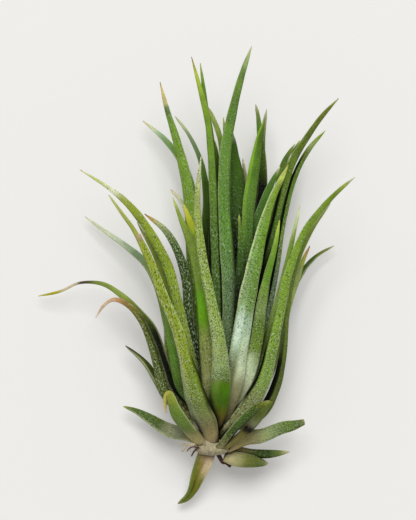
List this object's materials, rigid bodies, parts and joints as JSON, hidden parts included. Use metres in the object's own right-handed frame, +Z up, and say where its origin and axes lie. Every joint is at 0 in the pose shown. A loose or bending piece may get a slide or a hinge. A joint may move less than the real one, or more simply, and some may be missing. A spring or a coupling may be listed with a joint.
{
  "type": "air plant",
  "caption": "Bare-rooted air plant lying on its side: a rosette of narrow channelled leaves on a short stem, with a root stub.",
  "frame": {"origin": "on the surface that the plant lies on, under the middle of its outline", "axes": "+Y from the root end towards the leaf tips, +Z up from the surface, +X to the right seen from above"},
  "size_m": [0.0636, 0.092, 0.0342],
  "materials": {
    "stem": "matte",
    "leaf_silvered": "matte",
    "leaf_fresh_green": "matte",
    "leaf_deep_green": "matte",
    "leaf_olive": "matte",
    "leaf_pale": "matte",
    "root_dark": "matte",
    "root_pale": "matte"
  },
  "bodies": {
    "root": {"stem": "stem", "leaf_front_1": "leaf_silvered", "leaf_front_2": "leaf_silvered", "leaf_front_3": "leaf_fresh_green", "leaf_front_4": "leaf_silvered", "leaf_front_5": "leaf_fresh_green", "leaf_front_6": "leaf_fresh_green", "leaf_front_7": "leaf_olive", "leaf_base_1": "leaf_deep_green", "leaf_base_2": "leaf_olive", "leaf_base_3": "leaf_deep_green", "leaf_heart_1": "leaf_deep_green", "leaf_heart_2": "leaf_fresh_green", "leaf_heart_3": "leaf_fresh_green", "leaf_heart_4": "leaf_deep_green", "leaf_heart_5": "leaf_fresh_green", "leaf_heart_6": "leaf_deep_green", "leaf_heart_7": "leaf_deep_green", "leaf_heart_8": "leaf_deep_green", "leaf_heart_9": "leaf_deep_green", "leaf_heart_10": "leaf_deep_green", "leaf_heart_11": "leaf_pale", "leaf_left_1": "leaf_olive", "leaf_left_2": "leaf_deep_green", "leaf_left_3": "leaf_fresh_green", "leaf_left_4": "leaf_deep_green", "leaf_left_5": "leaf_deep_green", "leaf_left_6": "leaf_fresh_green", "leaf_left_7": "leaf_fresh_green", "leaf_left_8": "leaf_deep_green", "leaf_left_9": "leaf_deep_green", "leaf_left_10": "leaf_deep_green", "leaf_left_11": "leaf_deep_green", "leaf_left_12": "leaf_pale", "leaf_right_1": "leaf_olive", "leaf_right_2": "leaf_fresh_green", "leaf_right_3": "leaf_fresh_green", "leaf_right_4": "leaf_deep_green", "leaf_right_5": "leaf_deep_green", "leaf_right_6": "leaf_fresh_green", "leaf_right_7": "leaf_deep_green", "leaf_right_8": "leaf_deep_green", "leaf_right_9": "leaf_deep_green", "leaf_right_10": "leaf_deep_green", "leaf_right_11": "leaf_deep_green", "leaf_right_12": "leaf_pale", "leaf_right_13": "leaf_pale", "leaf_right_14": "leaf_deep_green", "leaf_base_4": "leaf_olive", "leaf_under_1": "leaf_silvered", "leaf_under_2": "leaf_fresh_green", "leaf_under_3": "leaf_olive", "leaf_under_4": "leaf_fresh_green", "leaf_under_5": "leaf_deep_green", "leaf_under_6": "leaf_deep_green", "leaf_under_7": "leaf_deep_green", "root_stub": "root_dark", "root_wisp_1": "root_pale", "root_wisp_2": "root_dark"}
  },
  "joints": []
}
